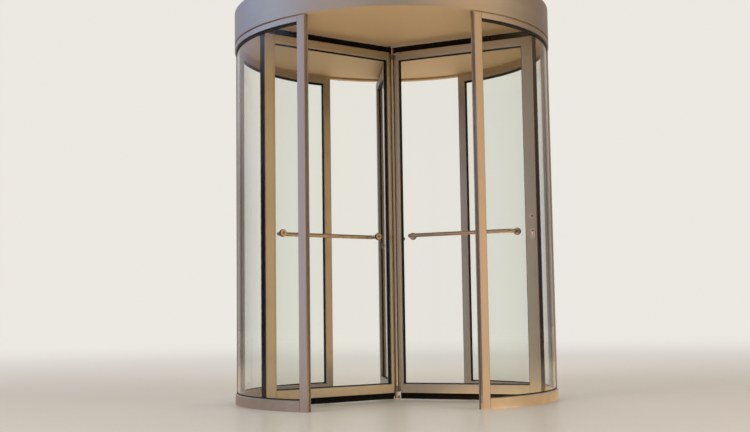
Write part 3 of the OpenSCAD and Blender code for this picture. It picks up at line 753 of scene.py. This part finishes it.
class REVDOOR_OT_finishes(bpy.types.Operator):
    """Gives every solid of the frame its metal, glass, rubber or paint"""
    bl_idname = "revolving_door.finishes"
    bl_label = "Finishes"

    def execute(self, context):
        finishes = context.scene.revolving_door_finishes
        satin, wing, steel = finishes.satin_colour, finishes.wing_colour, finishes.steel_colour
        dress(with_end("_post"), metal("post_aluminium", satin, "up"))
        dress(with_end("_head_rails", "_sill_rails"), metal("rail_aluminium", satin, "round"))
        dress(with_end("_fascia"), metal("fascia_aluminium", satin, "round", rough=0.36, fine=0.8))
        roof = metal(
            "roof_aluminium", scaled(satin, 1.1), 0.0, rough=0.42, fine=0.6, dull_low=False)
        dress(["roof_cover"], roof)
        dress(["ceiling", "soffit_ring"], paint("ceiling_paint", finishes.ceiling_colour))
        dress(["canopy_frame", "top_bearing"], zinc("zinc_steel", (0.36, 0.38, 0.39)))
        dress(["hubs"], metal("hub_steel", scaled(wing, 0.62), "round", rough=0.3, dull_low=False))
        centre = metal("centre_steel", steel, "up", rough=0.22, fine=1.2, dull_low=False)
        dress(["spindle", "centre_tube"], centre)
        chrome = metal("bearing_chrome", (0.62, 0.60, 0.57), "round", rough=0.12, grain=0.04)
        dress(["floor_bearing"], chrome)
        dress(["wing_lock"], metal("lock_steel", steel, "up", rough=0.28, dull_low=False))
        dress(with_end("_pane"), glazing("wall_glass", finishes.glass_colour))
        dress(with_end("_wing_glass"), glazing("wing_glass", finishes.glass_colour))
        dress(with_end("_gaskets"), rubber("gasket_rubber", finishes.rubber_colour))
        # A light warm brown for the seals: painted warm light on the entrance jambs
        dress(["entrance_seals"], rubber("seal_rubber", (0.19, 0.142, 0.108), rough=0.42))
        dress(["wing_brushes"], bristle("brush_fibre", finishes.rubber_colour))
        stiles = metal("stile_aluminium", wing, "up")
        # Darker and warmer than the steel: painted shade and painted warm light on the push bars
        bar_painted_warm_shade = [c * share for c, share in zip(steel, (0.74, 0.66, 0.58))]
        for side, deg in WING_DEG.items():
            dress([side + "_inner_stile", side + "_outer_stile"], stiles)
            dress([side + "_rails"], metal(side + "_rail_aluminium", wing, deg))
            bar = metal(
                side + "_bar_steel", bar_painted_warm_shade, deg, rough=0.2, fine=1.2, dull_low=False)
            dress([side + "_push_bar"], bar)
        return {"FINISHED"}


# Brushes

# The core of a strip is a dark bar: its share of the strip's thickness, and how far it stays
# behind the tips and the ends
CORE_SHARE, CORE_BEHIND, CORE_END, CORE_EASE = 0.72, 0.004, 0.001, 0.0015
# How far the tips stray, and how much shorter a tuft is for it
TIP_STRAY, TIP_SPARE = 0.0011, 0.0012
TUFT_TAPER, TUFT_TURN = 0.55, 0.7


def bristle_strip(length, tip, details, seed):
    """A strip from the origin along x, whose tufts reach out along y to the tip."""
    rows, pitch, radius = details.tuft_rows, details.tuft_pitch, details.tuft_radius
    count = max(2, int(length / pitch))
    half = BRUSH_T * CORE_SHARE / 2
    made = [block(
        (CORE_END, 0.0, -half), (length - CORE_END, tip - CORE_BEHIND, half), CORE_EASE, 1)]
    for row in range(rows):
        alone()
        bpy.ops.mesh.primitive_cone_add(
            vertices=3, radius1=radius, radius2=radius * TUFT_TAPER, depth=tip,
            end_fill_type="TRIFAN", location=(0, 0, 0), rotation=(0, 0, row * TUFT_TURN))
        tuft = bpy.context.object
        bpy.ops.object.transform_apply(location=True, rotation=True, scale=True)
        with shaping(tuft):
            pick(tuft, "faces", lambda f: f.normal.z < -0.9)
            bpy.ops.mesh.delete(type="FACE")
        start = radius + (pitch / 2 if row % 2 else 0.0)
        across = (row / (rows - 1) - 0.5) * (BRUSH_T - 2 * radius)
        tuft.data.transform(Matrix.Translation((start, tip / 2, across)) @ turn(-90, "X"))
        run = tuft.modifiers.new("run", "ARRAY")
        run.count, run.use_relative_offset, run.use_constant_offset = count, False, True
        run.constant_offset_displace = ((length - 2 * radius - pitch) / count, 0, 0)
        alone(tuft)
        bpy.ops.object.modifier_apply(modifier=run.name)
        with shaping(tuft, "VERT"):
            pick(tuft, "verts", lambda v: v.co.y > 0.7 * tip)
            bpy.ops.transform.vertex_random(
                offset=TIP_STRAY, uniform=0.7, normal=0.0, seed=seed + row)
        made.append(tuft)
    return joined(made)


class REVDOOR_OT_brushes(bpy.types.Operator):
    """Makes the bristle strips round each wing"""
    bl_idname = "revolving_door.brushes"
    bl_label = "Brush Strips"

    def execute(self, context):
        details = context.scene.revolving_door_details
        finish = bristle("brush_fibre", context.scene.revolving_door_finishes.rubber_colour)
        root = WING_LOW + BRUSH_SEAT
        foot = bristle_strip(BRUSH_R - BRUSH_FOOT_R, root - BRUSH_LOW - TIP_SPARE, details, 11)
        foot.data.transform(Matrix.Translation((BRUSH_FOOT_R, 0, root)) @ turn(-90, "X"))
        head = bristle_strip(BRUSH_R - BRUSH_HEAD_R, BRUSH_TOP - WING_TOP - TIP_SPARE, details, 23)
        head.data.transform(Matrix.Translation((BRUSH_HEAD_R, 0, WING_TOP)) @ turn(90, "X"))
        edge = bristle_strip(
            BRUSH_TOP - BRUSH_LOW, BRUSH_R - WING_OUT_R + BRUSH_SEAT - TIP_SPARE, details, 37)
        # Turns the strip's x up and its y outwards
        edge.data.transform(Matrix((
            (0, 1, 0, WING_OUT_R - BRUSH_SEAT), (0, 0, 1, 0), (1, 0, 0, BRUSH_LOW), (0, 0, 0, 1))))
        model = joined([foot, head, edge])
        for side, deg in WING_DEG.items():
            strip = twin(model, turn(deg))
            settle(strip, side + "_bristles", "rotor", finish, 50.0)
            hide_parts("wing_brushes")
        bpy.data.objects.remove(model)
        return {"FINISHED"}


# Screws and rivets

# How far the screws lie from the ends of the inner stiles and of the posts
STILE_SCREWS, POST_SCREWS = (0.014, 0.040), (0.040, 0.120)
POST_SCREW_R = WALL_R + 0.008
ROOF_SEAMS, ROOF_SCREW_PITCH = (-DRUM_OUT_R / 3, DRUM_OUT_R / 3), 0.21
# The rows of rivets: how far round from the joints of the fascia's halves, and how high in them
RIVET_DEG, RIVET_LOW, RIVET_PITCH = 2.6, 0.018, 0.0385


def from_ends(low, top, steps):
    """Heights at these steps above the lower end and below the upper one."""
    return [low + step for step in steps] + [top - step for step in reversed(steps)]


class REVDOOR_OT_fixings(bpy.types.Operator):
    """Sets the screws of the wings, posts and roof and the rivets of the fascia"""
    bl_idname = "revolving_door.fixings"
    bl_label = "Screws and Rivets"

    def execute(self, context):
        details = context.scene.revolving_door_details
        steel = context.scene.revolving_door_finishes.steel_colour
        finish = metal(
            "screw_steel", scaled(steel, 0.9), "up", rough=0.24, fine=1.5, dull_low=False)
        wings = [
            flat_spot(deg, STILE_MID_R, side * WING_T / 2, height, side)
            for deg in WING_DEG.values() for side in (-1, 1)
            for height in from_ends(WING_LOW, WING_TOP, STILE_SCREWS)]
        posts = [
            flat_spot(deg, POST_SCREW_R, side * POST_W / 2, height, side)
            for deg, side in POSTS.values() for height in from_ends(0.0, CLEAR_H, POST_SCREWS)]
        roof = [
            Matrix.Translation((i * ROOF_SCREW_PITCH, y, ROOF_LOW + SEAM_H))
            for y in ROOF_SEAMS for i in range(-4, 5)]
        for name, body, slot, spots in (
                ("wing_screws", "rotor", "lock_steel", wings),
                ("post_screws", "drum", "lock_steel", posts),
                ("roof_screws", "drum", "roof_sheet", roof)):
            settle(copies(hex_screw(details.screw_radius), spots), name, body, finish)
        rivet = disc(details.rivet_radius, -0.0004, 0.0006, 20, 0.0005, 3)
        spots = [
            wall_spot(joint + off, DRUM_OUT_R, CLEAR_H + RIVET_LOW + i * RIVET_PITCH)
            for joint in (0.0, 180.0) for off in (-RIVET_DEG, RIVET_DEG) for i in range(5)]
        settle(copies(rivet, spots), "fascia_rivets", "drum", finish)
        return {"FINISHED"}


# Lock

BARREL_R, RECESS_R, PLUG_R, FOLLOWER_R = 0.0085, 0.0064, 0.0058, 0.0068
# How far the cylinder stands proud
LOCK_PROUD = 0.0022
# Two corners each of the cylinder's tail, the slot for the key and the follower's square hole,
# with z out of the wing's face
TAIL = (-0.005, -0.0245, -0.0026), (0.005, -0.004, LOCK_PROUD)
KEYWAY = (-0.0011, -0.0046, -0.001), (0.0011, 0.0034, 0.003)
SQUARE = (-0.004, -0.004, -0.0035), (0.004, 0.004, 0.001)


class REVDOOR_OT_lock(bpy.types.Operator):
    """Makes the key cylinder and the spindle follower on both faces of the right wing"""
    bl_idname = "revolving_door.lock"
    bl_label = "Lock"

    def execute(self, context):
        barrel = disc(BARREL_R, -0.001, LOCK_PROUD, 40, 0.0006)
        cylinder = combine(barrel, block(*TAIL, 0.0020, 3), "UNION")
        cylinder = combine(cylinder, disc(RECESS_R, 0.0006, 0.003), "DIFFERENCE")
        plug = combine(disc(PLUG_R, 0.0, 0.0018, bevel=0.0004), block(*KEYWAY), "DIFFERENCE")
        follower = disc(FOLLOWER_R, -0.0048, -0.0012, bevel=0.0004)
        follower = combine(follower, block(*SQUARE), "DIFFERENCE")
        cylinder_spots, follower_spots = [
            [flat_spot(WING_DEG["right_wing"], LOCK_R, side * LOCK_FACE, height, side)
             for side in (-1, 1)]
            for height in (CYLINDER_Z, FOLLOWER_Z)]
        # Turned so that the tail hangs down on that face too
        cylinder_spots[1] = cylinder_spots[1] @ turn(180)
        steel = context.scene.revolving_door_finishes.steel_colour
        # Paler than the steel: a painted highlight on the key cylinders
        bright = metal(
            "cylinder_steel", scaled(steel, 1.4), "up", rough=0.2, fine=1.5, dull_low=False)
        # Much darker than the steel: painted shade in the key plugs and in the follower holes
        dark = metal("follower_steel", scaled(steel, 0.30), "up", rough=0.4, dull_low=False)
        settle(copies(cylinder, cylinder_spots), "lock_cylinders", "rotor", bright)
        settle(copies(plug, cylinder_spots), "lock_plugs", "rotor", dark)
        settle(copies(follower, follower_spots), "lock_followers", "rotor", dark)
        return {"FINISHED"}


# Push bars and centre

WASHER_R, WASHER_H = 0.0232, 0.0014
COLLAR_R, COLLAR_H, COLLAR_EASE = 0.0158, 0.0085, 0.0008
BOLT_R = 0.0085
ROSETTE_R, ROSETTE_H, ROSETTE_HOLE_R = 0.034, 0.0026, 0.0122
CAP_R, CAP_H, CAP_SOCKET_R, CAP_SEAT = 0.0046, 0.0050, 0.0023, 0.0004
# Heights of a hub's screws, as shares of its own height
CAP_SHARES = (0.28, 0.72)


class REVDOOR_OT_bar_fittings(bpy.types.Operator):
    """Adds washers, collars and bolt heads to the push bars"""
    bl_idname = "revolving_door.bar_fittings"
    bl_label = "Push Bar Fittings"

    def execute(self, context):
        finishes = context.scene.revolving_door_finishes
        steel = finishes.steel_colour
        washer = disc(WASHER_R, 0.0, WASHER_H, 48, 0.0004)
        collar = disc(COLLAR_R, 0.0, COLLAR_H, 48, COLLAR_EASE)
        ease_rim(collar, 0.0, COLLAR_EASE)
        rings, cuffs, heads = [], [], []
        for deg in WING_DEG.values():
            for reach in (BAR_IN_R, BAR_OUT_R):
                for side in (-1, 1):
                    rings.append(flat_spot(deg, reach, side * GLASS_FACE, BAR_Z, side))
                cuffs.append(flat_spot(deg, reach, -DISC_FACE, BAR_Z, -1))
                heads.append(flat_spot(deg, reach, DISC_FACE, BAR_Z, 1))
        black = rubber("washer_rubber", finishes.rubber_colour)
        settle(copies(washer, rings), "bar_washers", "rotor", black)
        bright = metal("collar_steel", steel, "up", rough=0.18, fine=1.5, dull_low=False)
        settle(copies(collar, cuffs), "bar_collars", "rotor", bright)
        dark = metal("bolt_steel", scaled(steel, 0.34), "up", rough=0.3, dull_low=False)
        settle(copies(hex_screw(BOLT_R), heads), "bar_bolts", "rotor", dark)
        return {"FINISHED"}


class REVDOOR_OT_centre_fittings(bpy.types.Operator):
    """Adds the ceiling rosette and the clamp screws of the hubs"""
    bl_idname = "revolving_door.centre_fittings"
    bl_label = "Centre Fittings"

    def execute(self, context):
        steel = context.scene.revolving_door_finishes.steel_colour
        rosette = disc(ROSETTE_R, 0.0, ROSETTE_H, 64, 0.0012, 3)
        hole = disc(ROSETTE_HOLE_R, -0.002, 0.006, 48)
        rosette = combine(rosette, hole, "DIFFERENCE")
        rosette.data.transform(Matrix.Translation((0, 0, CEILING_Z)) @ turn(180, "X"))
        bright = metal("rosette_steel", steel, "round", rough=0.25, fine=1.5, dull_low=False)
        settle(rosette, "ceiling_rosette", "drum", bright)
        cap = hex_socket(disc(CAP_R, 0.0, CAP_H, 28, 0.0005), CAP_SOCKET_R, 0.005, CAP_H)
        # Halfway between two wings, one over the other
        spots = [
            wall_spot(deg + 60.0, TUBE_R - CAP_SEAT, low + HUB_H * share)
            for deg in WING_DEG.values() for low in HUB_LOWS for share in CAP_SHARES]
        dark = metal("cap_screw_steel", scaled(steel, 0.4), "up", rough=0.35, dull_low=False)
        settle(copies(cap, spots), "hub_screws", "rotor", dark)
        return {"FINISHED"}


# Add-on


class REVDOOR_PT_sidebar(bpy.types.Panel):
    """Lists the door's operators and settings"""
    bl_label = "Revolving Door"
    bl_idname = "REVDOOR_PT_sidebar"
    bl_space_type = "VIEW_3D"
    bl_region_type = "UI"
    bl_category = "Revolving Door"

    def draw(self, context):
        scene = context.scene
        for operator in OPERATORS:
            self.layout.operator(operator.bl_idname)
        for settings in (
                scene.revolving_door_stage, scene.revolving_door_finishes,
                scene.revolving_door_details):
            column = self.layout.column(align=True)
            for key in type(settings).__annotations__:
                column.prop(settings, key)


OPERATORS = (
    REVDOOR_OT_stage, REVDOOR_OT_finishes, REVDOOR_OT_brushes, REVDOOR_OT_fixings,
    REVDOOR_OT_lock, REVDOOR_OT_bar_fittings, REVDOOR_OT_centre_fittings)
CLASSES = (StageSettings, FinishSettings, DetailSettings, *OPERATORS, REVDOOR_PT_sidebar)


def register():
    for made in CLASSES:
        bpy.utils.register_class(made)
    bpy.types.Scene.revolving_door_stage = PointerProperty(type=StageSettings)
    bpy.types.Scene.revolving_door_finishes = PointerProperty(type=FinishSettings)
    bpy.types.Scene.revolving_door_details = PointerProperty(type=DetailSettings)


def unregister():
    del bpy.types.Scene.revolving_door_details
    del bpy.types.Scene.revolving_door_finishes
    del bpy.types.Scene.revolving_door_stage
    for made in reversed(CLASSES):
        bpy.utils.unregister_class(made)


def main():
    register()
    for operator in OPERATORS:
        family, action = operator.bl_idname.split(".")
        getattr(getattr(bpy.ops, family), action)()
    alone()


if __name__ == "__main__":
    main()
